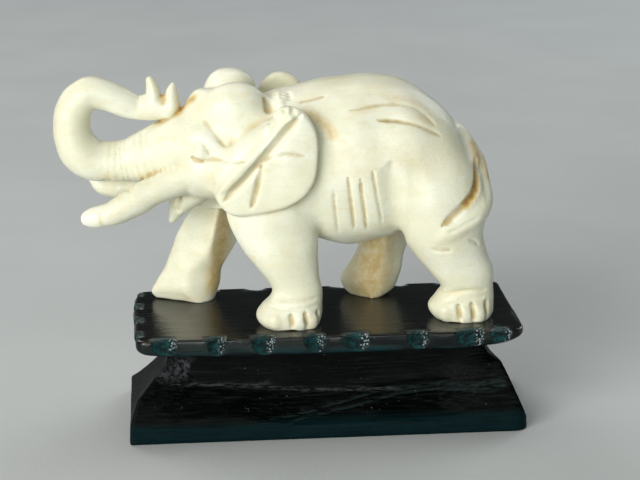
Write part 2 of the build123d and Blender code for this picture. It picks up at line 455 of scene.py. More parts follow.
# Trunk: x, y, z and radius along its middle
trunk = (
    (-20, MID, 60.4, 8),
    (-26.5, MID, 59.4, 7.3),
    (-31, MID, 58, 6.5),
    (-35.2, MID, 56.8, 5.5),
    (-39.4, MID, 56, 4.35),
    (-43.6, MID, 55.7, 4.2),
    (-47.4, MID, 56.4, 4.3),
    (-50.2, MID, 59.2, 4.15),
    (-51.2, MID, 63.2, 3.9),
    (-50.2, MID, 67.6, 3.6),
    (-47.6, MID, 70, 3.35),
    (-44.6, MID, 69.7, 3.2),
    (-41.3, MID, 68.3, 2.95),
    (-38, MID, 66.9, 2.35),
    (-35.3, MID, 66.9, 2.7),
    (-32, MID, 66.6, 2.7),
)
carving.join(cord(trunk), 1.0)

# Trunk fingers, and the mouth's pointed lower lip
carving.join(cord(((-34.4, MID, 68.2, 1.7), (-34.6, MID, 70.6, 1.4), (-35.1, MID, 72.5, 0.8)), 1.5), 0.35)
carving.join(cord(((-31.0, MID, 67.4, 1.9), (-30.8, MID, 70.0, 1.2), (-30.5, MID, 71.7, 0.4)), 1.6), 0.3)
carving.join(cord(((-26.0, MID, 50.2, 3.4), (-29.2, MID, 46.9, 2.5), (-31.3, MID, 43.2, 0.8)), 1.2), 0.8)

# Tusks
near_tusk = (
    (-29.5, -3.2, 53, 3.6),
    (-34, -4.6, 51.2, 3.1),
    (-39, -5.6, 48.8, 2.9),
    (-43, -6.2, 47, 2.6),
    (-46.6, -6.4, 46.1, 2.2),
    (-48.2, -6.5, 45.9, 1.6),
)
far_tusk = (
    (-30.5, 5.2, 52.4, 3.4),
    (-36, 6.4, 49.8, 2.8),
    (-41, 7.2, 48.6, 2.3),
    (-45, 7.6, 49, 2),
    (-46.9, 7.8, 50.6, 1.5),
)
carving.join(cord(near_tusk), 0.7)
carving.join(cord(far_tusk), 0.5)

# Tail, from the croup round to a flat tuft on the near thigh
tail = (
    (23.4, -0.2, 62.8, 0.8),
    (27.7, -0.8, 60.6, 1.3),
    (31.2, -2.2, 55.8, 1.7),
    (32.1, -4.6, 51, 1.9),
    (31.6, -7.8, 47.4, 2.2),
    (29.5, -10.7, 45.4, 2.2),
    (27, -11.9, 44, 1.8),
    (24.6, -12.4, 42.7, 1.3),
    (22.2, -12.6, 41.4, 0.6),
)
carving.join(cord(tail), 1.1)
tail_root = ((27.6, -1.8, 60.6, 1.0), (29.2, -3.2, 58.2, 1.1), (30.0, -5.2, 55.8, 1.0))
carving.join(cord(tail_root), 2.0)

# Ears, and the nape between them
ear = closed((
    (-11.7, 67.2),
    (-8.7, 69.3),
    (-5.1, 68.3),
    (-2.6, 64.6),
    (-2, 60.3),
    (-2.8, 54.6),
    (-5.8, 50.5),
    (-9.9, 48.5),
    (-15.9, 47.2),
    (-20, 47.5),
    (-22.7, 50.8),
    (-20.9, 55.3),
    (-15.4, 61.3),
))


def near_ear_face(x, z):
    cup = 0.006 * ((x + 9) ** 2 + (z - 57) ** 2)
    return -11.9 - 0.06 * (x + 22.0) + np.clip(cup, 0, 1.2)


def far_ear_face(x, z):
    return 2 * MID - near_ear_face(x, z)


carving.join(plate(ear, near_ear_face, 2.6, 0.9), 0.4)
cheek_fold = (
    (-9.6, -8.4, 66.6, 0.8),
    (-12.4, -9.2, 64, 1.5),
    (-16.4, -9.8, 59.6, 2.2),
    (-20.2, -9.6, 55, 2.4),
    (-21.4, -9, 52, 1.6),
)
carving.join(cord(cheek_fold), 2.4)
carving.join(plate(ear + (0, 1.8), far_ear_face, 2.6, 0.9), 0.4)
carving.join(egg((-9.0, MID - 1.0, 67.6), (2.2, 6.0, 2.6)), 0.5)

# Softly uneven hand work everywhere, before the knife's own lines
carving.ripple(11.0, 0.16, 4)
carving.ripple(4.5, 0.05, 9)

# Knife lines, each over (x, z) points: width, depth, dirt held in it and path
eyelid = ((-27.1, 58.4), (-26.7, 59.8), (-25.9, 60.9), (-25.1, 61.2), (-24.2, 60.2), (-23.2, 58.4))
near_lines = (
    (1.2, 2.2, 0.6, ((-5.5, 68), (-8.2, 65), (-11.8, 60.7), (-16.4, 55.4), (-19.4, 52.2), (-21, 50.3))),
    (0.6, 0.9, 0.6, ((-13.2, 58.5), (-11.8, 59.3), (-9.9, 59.7), (-8.3, 60.1), (-4.7, 59.6))),
    (0.8, 1.3, 0.9, ((-13.6, 57.4), (-14.2, 54.2), (-14.7, 52.1), (-15.7, 49))),
    (1.3, 0.5, 0, ((-10.8, 66.5), (-13, 63.4), (-17.7, 59.2), (-19.8, 56.7), (-22.2, 53.5), (-23, 50.8))),
    (1.3, 2.2, 0.7, ((-12.3, 70), (-11.7, 68.4), (-11.6, 66.8), (-11.8, 65.8))),
    (0.7, 1, 0.4, ((-7.3, 70.2), (-7.2, 69.2), (-7.2, 67.6))),
    (0.7, 0.6, 0.35, ((-24.7, 65.5), (-23.6, 64.3), (-22.4, 63.1), (-21.3, 61.5), (-20.5, 60.6))),
    (0.4, 0.7, 0.35, eyelid),
    (0.55, 1.7, 1, ((-27.4, 58.4), (-26.5, 57.9), (-25.2, 57.7))),
    (0.5, 1, 0.45, ((-25.9, 57.7), (-24.4, 57.9), (-22.8, 58.2), (-19.4, 58.3), (-15.6, 58.9))),
    (0.45, 0.7, 0.5, ((0.9, 52.4), (1.4, 47), (2.3, 41.3))),
    (0.5, 1, 0.7, ((3.7, 54.8), (4.5, 49), (5.5, 42.2))),
    (0.5, 1.1, 0.8, ((6.2, 54.4), (6.9, 49), (7.9, 42.7))),
    (0.5, 1.1, 0.8, ((8.6, 56.4), (9.8, 50), (11.2, 43))),
    (3, 1, 0, ((15.6, 39.4), (13.6, 45), (12.6, 51), (12.6, 57))),
    (0.6, 1.8, 0.8, ((-8, 26.6), (-7.8, 24.8), (-7.4, 21.6))),
    (0.6, 1.8, 0.8, ((-5, 26.9), (-4.8, 25), (-4.3, 21.6))),
    (0.6, 1.5, 0.8, ((-2.4, 26.6), (-2.2, 21.8))),
    (0.5, 0.7, 0.4, ((-11.8, 29.2), (-8, 28.9), (-2, 29.2))),
    (0.5, 0.5, 0.3, ((-12.6, 27.7), (-8, 27.3), (-1.8, 27.6))),
    (0.6, 1.8, 0.8, ((26.6, 27), (26.9, 25.2), (27.4, 21.6))),
    (0.6, 1.8, 0.8, ((29.4, 27.3), (29.8, 25.2), (30.2, 21.6))),
    (0.6, 1.5, 0.8, ((32.6, 27.4), (32.9, 21.8))),
    (0.5, 0.7, 0.4, ((23, 28.5), (26.1, 29.3), (29.1, 29.8), (33, 29.5))),
    (0.5, 0.5, 0.3, ((24, 27.3), (28.8, 28), (33.2, 28.2))),
    (0.5, 0.6, 0.5, ((20.6, 39.1), (22.8, 38.8), (24.8, 38.9))),
    (0.5, 0.6, 0.5, ((28.4, 40.8), (29.8, 40.2), (30.8, 39.2))),
    (1.2, 1.6, 0.8, ((30.7, 56.4), (30.8, 54), (30, 51), (27.7, 48.4), (25, 46.1), (22.8, 44.4))),
    (0.5, 0.6, 0.4, ((30.6, 45.8), (27, 44.2), (23.4, 42.5))),
    (1.2, 0.3, 0.9, ((4.5, 67.5), (10.6, 68.3), (14.7, 68.2), (18.4, 67), (21.7, 64))),
    (1, 0.3, 0.9, ((10, 65.5), (14.4, 65.2), (17.5, 64.5), (20.2, 63.3), (23, 61.8))),
    (0.9, 0.25, 0.8, ((-6.2, 68.5), (-3.2, 69.1), (-0.2, 69.8))),
    (0.8, 1.5, 0.8, ((-29.8, 49), (-30.1, 47.2), (-30.3, 45.2))),
    (0.8, 0.9, 0.5, ((-45.4, 52.4), (-43.6, 51.9), (-39.4, 51.5))),
    (0.5, 0.6, 0.4, ((-9.7, 70.2), (-10.2, 68.2))),
    (0.5, 0.6, 0.4, ((-8.5, 70.3), (-9, 68.3))),
)
marks = []


def mark(lines, side):
    """Presses knife lines into one side and keeps where they ran."""
    for width, depth, dirt, path in lines:
        line = carving.land(path, side)
        carving.press(line, width, depth)
        marks.append((width, dirt, line))


mark(near_lines, NEAR)

# The fold along the ear, the eyeball and toes, raised a little between the knife lines
carving.raise_along(((-7.0, 67.8), (-12.6, 61.6), (-17.2, 57.0), (-21.8, 52.2)), NEAR, 2.2, 0.6)
carving.raise_along(((-25.8, 59.3), (-25.2, 59.3)), NEAR, 1.6, 0.9)
carving.raise_along(((-25.4, 63.2), (-22.0, 60.4)), NEAR, 1.8, 0.35)
for x, z in ((-11.4, 25.4), (-6.1, 25.2), (-3.1, 25.0), (23.8, 25.4), (28.2, 25.2), (31.4, 25.0)):
    carving.raise_along(((x, z), (x + 0.1, z - 1.6)), NEAR, 1.9, 0.5)

# The far side has the same lines on its ear, eye, ribs and croup, and toes on its own feet
far_toes = [(0.6, 1.6, 0.8, ((x, 26.6), (x + 0.5, 21.6))) for x in (-29.6, -26.6, -24.0, 9.4, 12.2, 14.8)]
mark([*near_lines[1:3], *near_lines[7:15], *near_lines[29:31], *far_toes], FAR)


def wrinkle(sculpt, knots, first, last, spacing, depth):
    """Rings a rod's surface with fine wrinkles between two distances along it."""
    path = dense(knots, 10)[:, :3]
    reach = np.concatenate([[0], np.cumsum(np.linalg.norm(np.diff(path, axis=0), axis=1))])
    cut, xyz = sculpt.window(path.min(0), path.max(0), 7)
    best = None
    for place, p in zip(reach, path):
        d = (xyz[0] - p[0]) ** 2 + (xyz[1] - p[1]) ** 2 + (xyz[2] - p[2]) ** 2
        if best is None:
            best, along = d, np.full(d.shape, place)
        else:
            along = np.where(d < best, place, along)
            best = np.minimum(best, d)
    fade = np.clip((along - first) / 3, 0, 1) * np.clip((last - along) / 4, 0, 1)
    wave = np.sin(along * 2 * np.pi / spacing + 1.2 * np.sin(along * 0.9) + 0.5 * xyz[1])
    sculpt.field[cut] += depth * fade * wave


wrinkle(carving, trunk, 5.0, 27.0, 1.25, 0.07)

# Blind holes for the pegs, and flat soles
for peg in ("near_fore_peg", "far_fore_peg", "near_hind_peg", "far_hind_peg"):
    low, high = corners(peg)
    x, y = (low + high)[:2] / 2
    carving.carve(cord(((x, y, SOLE - 2, 0.95), (x, y, high[2] - 0.5, 0.95))))
heights = carving.ticks[2].reshape(1, 1, -1)
carving.field = np.maximum(carving.field, SOLE - heights).astype(np.float32)

elephant, skin = carving.mesh("carved_elephant", keep=0.52)
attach(elephant, "root")
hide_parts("elephant")

# Dirt in the knife lines, dirt and painted shade in the crevices, painted shade over wider hollows, stain
# marks, and painted warm shade on the shadowed faces of the far legs
hollow = carving.hollows(skin, 1.0)
paint(elephant, "hollow", hollow)
paint(elephant, "shade", carving.hollows(skin, 2.4))
lines = np.zeros(len(skin))
for width, dirt, line in marks:
    lines = np.maximum(lines, dirt * near_line(skin, line, 0.6 + 0.7 * width))
paint(elephant, "line", lines * np.clip(0.3 + 12 * hollow, 0, 1))
stain_and_shade_paths = (
    (((30.3, -3.4, 58.6), (31, -5.6, 56.4), (30.9, -7.6, 54.6)), 2.2, 0.65),
    (((30.7, -7.2, 54.5), (29.9, -9.9, 51), (27.7, -12.3, 48.4)), 1.9, 1),
    (((27.7, -12.3, 48.4), (25, -13.4, 46.1), (23.7, -13.6, 44.9)), 1.1, 0.7),
    (((32, -3.4, 57), (33.2, -5, 52)), 2.2, 0.45),
    (((-29.6, -0.6, 66.4), (-28.2, 0, 67.4), (-26.4, -1, 68.8)), 1.9, 0.8),
    (((-32.6, MID, 70), (-32.6, -1.6, 68.6)), 1.5, 0.75),
    (((-11.8, -4.5, 69.4), (-11.6, -8.5, 66.6)), 1.6, 0.6),
    (((-4.4, -8.2, 67.6), (-1.2, -9.6, 65.6), (1, -10.6, 62.8)), 2.6, 0.5),
    (((-1.4, -10.4, 62.8), (2.8, -11.2, 61.8)), 1.2, 0.4),
    (((-1, -11, 63.4), (0.8, -11.6, 59.6), (1, -12, 55)), 3.2, 0.2),
    (((-5.6, -8, 69), (0.2, -8, 69.2), (5, -8.4, 69)), 2, 0.2),
    (((6.5, -9, 67.7), (14.7, -9.4, 68.2), (20.7, -9, 64.7)), 2.2, 0.28),
    (((12, -7, 70.2), (17, -7.2, 69), (21.5, -7, 66.8)), 3, 0.32),
    (((-2, -6, 71), (8, -8, 71), (18, -8, 68.4)), 7, 0.16),
    (((3, -12.6, 58), (12, -12.6, 60), (20, -11.6, 56)), 9, 0.22),
    (((-44.6, -2.6, 53.2), (-41, -3.2, 52.2)), 2.2, 0.4),
    (((-44, -9, 47.2), (-38, -8.4, 49.6)), 3, 0.22),
    (((-28, -6, 56), (-21, -8.4, 53)), 6, 0.15),
    (((-28.2, 5.6, 43.2), (-29.6, 6.2, 41)), 2.6, 0.35),
    # The next two lines paint shade: warm tan on the shadowed faces of the far legs
    (((-20.6, 8.6, 42), (-21.6, 8.4, 34), (-22.6, 8.6, 26)), 5.5, 0.66),
    (((12, 6.6, 38), (11, 6.4, 30), (10, 6.6, 25)), 9, 0.62),
    (((-31.5, 6.8, 24.4), (-25, 6.4, 23.6)), 1.6, 0.3),
    (((-7.7, -13.2, 25.6), (-7.5, -13.2, 23)), 1, 0.4),
    (((-4.3, -12.8, 25.6), (-3.9, -12.8, 23)), 1, 0.4),
    (((26.6, -11.8, 25.6), (26.9, -11.8, 23)), 1, 0.4),
    (((29.9, -11.6, 25.6), (30.3, -11.6, 23)), 1, 0.4),
    (((-13.7, -12.2, 57), (-15.2, -11.8, 50.6)), 0.9, 0.6),
    (((-11.6, -12.6, 60.4), (-16.4, -12.2, 55.2)), 0.9, 0.4),
    (((-46.1, -8.4, 47.3), (-45.5, -8.4, 44.6)), 0.8, 0.5),
)
stain_and_shade = np.zeros(len(skin))
for path, radius, strength in stain_and_shade_paths:
    stain_and_shade = np.maximum(stain_and_shade, strength * near_line(skin, dense(path, 10), radius))
paint(elephant, "stain_and_shade", stain_and_shade)
tips = near_line(skin, dense(((-50.0, -6.6, 45.6), (-47.2, -6.6, 46.0)), 8), 3.0)
paint(elephant, "pale", tips)

# ---------------------------------------------------------------- stand board

board_low, board_high = corners("stand_board")
plinth_low, plinth_high = corners("stand_plinth")
JOINT = plinth_high[2]
EDGE = 3.9
UNDERSIDE = SOLE - EDGE
WAIST_INSET = 8.4
EDGE_IN = 0.15
dowels = ("front_dowel", "rear_dowel")
pegs = ("near_fore_peg", "far_fore_peg", "near_hind_peg", "far_hind_peg")


def drill(sculpt, node):
    """A hole a glue gap wider than a peg or dowel."""
    low, high = corners(node)
    x, y = (low + high)[:2] / 2
    radius = (high - low)[0] / 2 + 0.05
    sculpt.carve(cord(((x, y, low[2] + radius - 0.1, radius), (x, y, high[2] - radius + 0.1, radius))))


def uneven(*xyz, length, seed):
    """Soft unevenness between -1 and 1, of about that length, for hand-cut faces."""
    rng = np.random.default_rng(seed)
    total = 0
    for _ in range(4):
        way = rng.normal(size=len(xyz))
        way *= 2 * np.pi / length / np.linalg.norm(way)
        total = total + np.sin(sum(w * c for w, c in zip(way, xyz)) + rng.uniform(0, 6.28)) / 4
    return total


def round_corner(u, v):
    """Distance past a corner where two faces meet, from how far past each face a place is."""
    return np.hypot(np.maximum(u, 0), np.maximum(v, 0)) + np.minimum(np.maximum(u, v), 0)


def along(place, heights):
    """A height that varies along a side, from (place, height) pairs."""
    places, values = zip(*heights)
    return np.interp(place, places, values)


fine = 0.28
board = Carving(board_low - 1, board_high + 1, fine)
x, y, z = board.axes()
half_length = board_high[0]
half_width = (board_high[1] - board_low[1]) / 2
board_middle = (board_high[1] + board_low[1]) / 2
corner = np.where((x > 0) & (y < board_middle), 3.4, 2.2)
bowed = np.where(x < 0, along(y, ((-17, 0.5), (-10, 0.1), (4, -0.3), (16, 0.3))), 0.1)
past_x = np.abs(x) - half_length + corner + bowed
past_y = np.abs(y - board_middle) - half_width + corner
plan = round_corner(past_x, past_y) - corner + 0.12 + 0.12 * uneven(x, y, length=19, seed=2)

# Its underside lifts at the ends, most at the near rear corner
lift = along(x, ((-40, 1.2), (-36, 0.7), (-27, 0.0), (26, 0.1), (34, 0.9), (40, 2.1)))
floor_z = UNDERSIDE + lift * np.where(y < board_middle, 1.0, 0.6)
at_end = np.clip((-x - half_length + 4) / 4, 0, 1)
thick = SOLE - floor_z
bullnose = np.minimum(np.where(z > floor_z + thick / 2, 0.35 + 0.7 * at_end, 1.2), thick / 2)
upward = np.abs(z - floor_z - thick / 2) - thick / 2
slab = round_corner(plan + bullnose, upward + bullnose) - bullnose
run_in = (WAIST_INSET - 1) / (floor_z - JOINT)
undercut = (plan + 1 + (floor_z - z) * run_in) / np.hypot(1, run_in)
undercut = np.maximum(undercut, np.maximum(plan + 1.2, z - SOLE + 1))
board.field = smooth_min(slab, undercut, 0.5).astype(np.float32)

# Gouge nicks: a long slope in from the left, a short steep tear-out on the right, shallower lower down
side_nicks = (
    (-33, 3.2, 1.7),
    (-23, 2.2, 1.5),
    (-13.2, 3, 1.8),
    (-2.9, 2.5, 1.6),
    (5.8, 3.5, 1.8),
    (18.2, 2.7, 1.6),
    (29.4, 4, 1.8),
    (35.4, 2.6, 1.3),
)
end_nicks = ((-12.5, 1.8, 2.2), (-3.4, 1.7, 2.2), (5.4, 1.7, 2.2), (13.4, 1.6, 2.0))
BITE = 1.7
LAST_BITE = 0.8
END_BITE = 0.9
TORN = 0.18


def in_nick(off, height, left, right):
    """How far inside a nick's round outline a place on the edge is: 1 at its middle, 0 on its rim."""
    share = np.where(off < 0, off / left, off / right)
    return 1 - share**2 - ((height - SOLE + 0.5) / 3.0) ** 2


for sign in (NEAR, FAR):
    for place, left, right in side_nicks:
        bite = LAST_BITE if place > 33 else BITE
        rough = uneven(x, y, z, length=0.9, seed=int(40 + place))
        torn = TORN * np.clip((x - place) / right + 0.2, 0, 1) * rough
        cut_in = bite * in_nick(x - place, z, left, right) + torn + past_y - corner
        here = (sign * (y - board_middle) > 0) & (np.abs(x - place) < left + 1)
        cut_in = np.where(here, 0.75 * cut_in, -9)
        board.field = np.maximum(board.field, cut_in)
for place, left, right in end_nicks:
    torn = TORN * uneven(x, y, z, length=0.9, seed=int(60 + place))
    cut_in = END_BITE * in_nick(y - place, z, left, right) + torn + past_x - corner
    cut_in = np.where((x < 0) & (np.abs(y - place) < right + 1), 0.75 * cut_in, -9)
    board.field = np.maximum(board.field, cut_in)
for node in dowels + pegs:
    drill(board, node)
board.field = np.maximum(board.field, JOINT - z)
board.field = np.maximum(board.field, z - SOLE).astype(np.float32)
board_piece, board_skin = board.mesh("black_board", 0.015)
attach(board_piece, "root")
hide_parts("stand_board")

# Masks for the nicks, their torn side and the cut edge: rougher than the polished top, and where the
# material paints reflected light and glints
bx, by, bz = board_skin.T
inside_nick = np.zeros(len(board_skin))
torn_side = np.zeros(len(board_skin))
for sign in (NEAR, FAR):
    on_edge = np.clip(2.8 - np.abs(by - board_middle - sign * half_width), 0, 1)
    for place, left, right in side_nicks:
        depth_in = on_edge * np.clip(4 * in_nick(bx - place, bz, left, right) + 0.5, 0, 1)
        inside_nick = np.maximum(inside_nick, depth_in)
        torn_side = np.maximum(torn_side, depth_in * np.clip((bx - place) / right + 0.3, 0, 1))
for place, left, right in end_nicks:
    on_edge = np.clip(2.4 - np.abs(bx + half_length), 0, 1)
    depth_in = on_edge * np.clip(4 * in_nick(by - place, bz, left, right) + 0.5, 0, 1)
    inside_nick = np.maximum(inside_nick, depth_in)
    torn_side = np.maximum(torn_side, depth_in * np.clip(0.4 - (by - place) / left, 0, 1))
paint(board_piece, "nick", inside_nick)
paint(board_piece, "torn_side", torn_side)
paint(board_piece, "side", np.clip((SOLE - 0.3 - bz) / 0.4, 0, 1))
paint(board_piece, "low", np.clip((SOLE - 1.9 - bz) / 1.2, 0, 1))

# ---------------------------------------------------------------- stand plinth

plinth = Carving(plinth_low - 1, plinth_high + 1, 0.33)
x, y, z = plinth.axes()
plinth_half_length, plinth_half_width = plinth_high[0], plinth_high[1]


# Knife-cut faces: place along the side, height of the band, then inset and height of the middle line, of the
# ridge and of the shoulder under the neck
near_side = (
    (-40, 3.6, 1.6, 9.5, 4.6, 13, 7.6, 14.7),
    (-37, 4, 2.2, 9, 5, 12.6, 7.7, 14.5),
    (-30, 4.9, 3.2, 7.6, 6, 10.6, 7.8, 14),
    (-28, 5, 3.3, 7.4, 6.9, 10.2, 7.8, 13.2),
    (-18, 5.1, 3.5, 7, 7.1, 9.5, 7.8, 13),
    (-6, 2.9, 3.5, 5.4, 7.1, 8.4, 7.8, 12.5),
    (14, 3.2, 3.5, 5.2, 7.1, 7.6, 7.8, 12),
    (23, 2.8, 3.2, 5.9, 6.9, 8.4, 7.8, 12.6),
    (31, 2.5, 2.9, 8.4, 5.7, 12.6, 7.6, 14.6),
    (40, 2.2, 2.9, 9.2, 5, 14.6, 7.4, 15.1),
)
far_side = (
    (-40, 3.4, 1.9, 5, 5.9, 9.4, 7.7, 11.6),
    (-12, 4.2, 3.4, 6.4, 6.9, 9, 7.8, 12.6),
    (15, 3.5, 3.4, 6.2, 7, 9.8, 7.8, 13),
    (40, 3.9, 3.1, 7.4, 6, 11.6, 7.6, 14.2),
)
front_end = (
    (-16, 3.6, 1.6, 9.5, 4.6, 13, 7.6, 14.7),
    (-4, 3.5, 2.6, 7.2, 5.4, 11, 7.6, 13.4),
    (16, 3.4, 1.9, 5, 5.9, 9.4, 7.7, 11.6),
)
rear_end = (
    (-16, 2.4, 2.9, 9.2, 5, 14.6, 7.4, 15.1),
    (0, 3.4, 3.2, 8.2, 5.8, 12.6, 7.6, 14.6),
    (16, 3.9, 3.1, 7.4, 6, 11.6, 7.6, 14.2),
)


def come_in(place, height, stations):
    """How far a side has come in at a height, from the floor to the neck."""
    table = np.array(stations, float)
    columns = [np.interp(place, table[:, 0], c) for c in table.T[1:]]
    band, middle_in, middle, ridge_in, ridge, neck_in, neck = columns
    total = EDGE_IN * np.clip(height / band, 0, 1)
    turns = ((EDGE_IN, band), (middle_in, middle), (ridge_in, ridge), (neck_in, neck), (WAIST_INSET, JOINT))
    for (from_in, from_height), (to_in, to_height) in zip(turns, turns[1:]):
        share = (height - from_height) / (to_height - from_height)
        total = total + (to_in - from_in) * np.clip(share, 0, 1)
    return total


near_face = -y - plinth_half_width + come_in(x, z, near_side)
far_face = y - plinth_half_width + come_in(x, z, far_side)
front_face = -x - plinth_half_length + come_in(y, z, front_end)
rear_face = x - plinth_half_length + come_in(y, z, rear_end)
sides = smooth_max(smooth_max(near_face, far_face, 0.3), smooth_max(front_face, rear_face, 0.3), 0.6)
corner_cut = (x - y) / np.sqrt(2) - (plinth_half_length + plinth_half_width - 1.7) / np.sqrt(2)
sides = smooth_max(sides, corner_cut, 1.0)
sides = sides + 0.12 + 0.12 * uneven(x, y, z, length=13, seed=5) + 0.03 * uneven(x, y, z, length=3.5, seed=8)
field = np.maximum(sides * 0.75, np.maximum(z - JOINT, -z))
plinth.field = field.astype(np.float32)

# The slip of the knife: two long shallow cuts rising to the right across the near side, and smaller ones
slips = (
    (0.8, 1.6, ((-12.5, 4.6), (-6.3, 4.9), (4, 6.7), (14.5, 8.3), (25, 9.2), (37, 10.6))),
    (0.7, 1.2, ((-8.5, 3.8), (4, 5.6), (14.5, 7.2), (25, 8.2), (36.5, 9.4))),
    (0.5, 0.4, ((-24, 7.9), (-10, 7.2), (4, 7.4))),
    (0.5, 0.35, ((10, 6.4), (17, 6.3), (24, 5.4))),
)
slip_lines = [plinth.land(path, NEAR) for width, depth, path in slips]
for line, (width, depth, path) in zip(slip_lines, slips):
    plinth.press(line, width, depth)
for node in dowels:
    drill(plinth, node)
plinth_piece, plinth_skin = plinth.mesh("black_plinth", 0.015)
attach(plinth_piece, "root")
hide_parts("stand_plinth")
# Lower band mask, where the material paints blue-green reflected light
paint(plinth_piece, "band", np.clip((4.6 - plinth_skin[:, 2]) / 1.2, 0, 1))
px, _, pz = plinth_skin.T
scraped = near_line(plinth_skin, dense(((-35, -12.0, 13.6), (-32, -10.8, 14.0), (-29, -9.4, 14.6)), 6), 4.2)
above_ridge = np.clip((pz - np.interp(px, (-37, -30, -28), (12.6, 10.8, 10.4))) / 0.5, 0, 1)
paint(plinth_piece, "scraped", scraped * above_ridge * np.clip((-28.4 - px) / 0.4, 0, 1))
# A painted highlight runs along this ridge line
ridge_line = plinth.land(((-37, 12.8), (-30, 10.6), (-16, 9.5), (-6, 8.4), (15, 7.6)), NEAR)
paint(plinth_piece, "ridge", near_line(plinth_skin, ridge_line, 0.6))
# A painted highlight along the lower lip of the two long cuts
lit_lip = np.zeros(len(plinth_skin))
for line in slip_lines[:2]:
    lit_lip = np.maximum(lit_lip, near_line(plinth_skin, line - (0, 0, 0.45), 0.65))
paint(plinth_piece, "slip", lit_lip)
# ---------------------------------------------------------------- materials


class Finish:
    """A material on one Principled shader, built node by node. Its patterns are laid out in millimetres."""

    def __init__(self, name):
        self.material = bpy.data.materials.new(name)
        self.material.use_nodes = True
        self.shader = self.material.node_tree.nodes["Principled BSDF"]

    def plug(self, socket, value):
        if isinstance(value, bpy.types.NodeSocket):
            self.material.node_tree.links.new(value, socket)
        else:
            socket.default_value = value

    def add(self, kind, inputs, **settings):
        node = self.material.node_tree.nodes.new("ShaderNode" + kind)
        for name, value in settings.items():
            setattr(node, name, value)
        for name, value in inputs.items():
            self.plug(node.inputs[name], value)
        return node

    def spread(self, scale):
        """Object coordinates, counted in features per millimetre along X, Y and Z."""
        place = self.add("TexCoord", {}).outputs["Object"]
        per_metre = [s / MM for s in scale]
        return self.add("VectorMath", {0: place, 1: per_metre}, operation="MULTIPLY").outputs[0]

    def noise(self, scale, detail=3.0, rough=0.5, swirl=0.0):
        numbers = {"Vector": self.spread(scale), "Scale": 1.0, "Detail": detail}
        numbers |= {"Roughness": rough, "Distortion": swirl}
        return self.add("TexNoise", numbers).outputs[0]

    def cells(self, scale):
        return self.add("TexVoronoi", {"Vector": self.spread(scale), "Scale": 1.0}).outputs["Distance"]

    def read(self, name):
        return self.add("Attribute", {}, attribute_name=name).outputs["Fac"]

    def remap(self, value, low, high, start=0.0, end=1.0):
        numbers = {"Value": value, "From Min": low, "From Max": high, "To Min": start, "To Max": end}
        return self.add("MapRange", numbers, interpolation_type="SMOOTHSTEP").outputs[0]

    def maths(self, operation, a, b):
        return self.add("Math", {0: a, 1: b}, operation=operation).outputs[0]

    def tint(self, share, first, second):
        """The first colour, turned to the second by a share."""
        colours = {0: share, 6: first, 7: second}
        return self.add("Mix", colours, data_type="RGBA").outputs[2]

    def bump(self, height, depth, below=None):
        """Relief of a depth in millimetres, over any relief already there."""
        inputs = {"Height": height, "Distance": depth * MM, "Strength": 1.0}
        if below is not None:
            inputs["Normal"] = below
        return self.add("Bump", inputs).outputs[0]

    def finish(self, **inputs):
        for name, value in inputs.items():
            self.plug(self.shader.inputs[name.replace("_", " ")], value)
        return self.material


